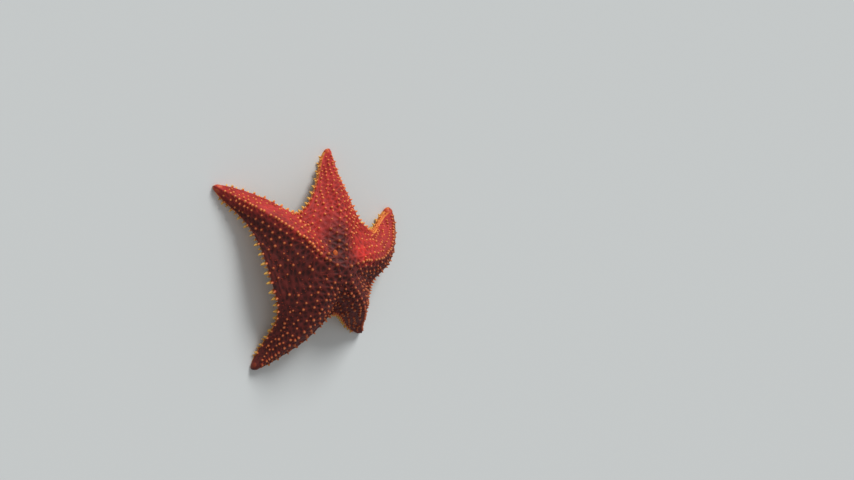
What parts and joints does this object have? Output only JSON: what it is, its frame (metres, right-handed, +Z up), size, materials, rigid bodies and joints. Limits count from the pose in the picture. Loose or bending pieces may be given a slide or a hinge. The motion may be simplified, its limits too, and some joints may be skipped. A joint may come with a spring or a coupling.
{
  "type": "sea star",
  "caption": "Life-size red cushion sea star with a domed disc and thick, spine-edged arms, standing on its arm tips.",
  "frame": {"origin": "on the ground under the middle of the animal's bounding box", "axes": "+Z up from the ground, through the disc; X across the widest span of the arms; the camera's side is -Y"},
  "size_m": [0.2454, 0.231, 0.0721],
  "materials": {
    "skin": "matte, leathery red skin with orange knobs",
    "tip_plate": "matte orange",
    "jaw_plate": "matte pale orange",
    "sieve_plate": "matte yellow-orange, finely furrowed"
  },
  "bodies": {
    "root": {"disc": "skin", "arm_right": "skin", "arm_top": "skin", "arm_left": "skin", "arm_lower_left": "skin", "arm_lower_right": "skin", "tip_right": "tip_plate", "tip_top": "tip_plate", "tip_left": "tip_plate", "tip_lower_left": "tip_plate", "tip_lower_right": "tip_plate", "mouth": "jaw_plate", "madreporite": "sieve_plate"}
  },
  "joints": []
}
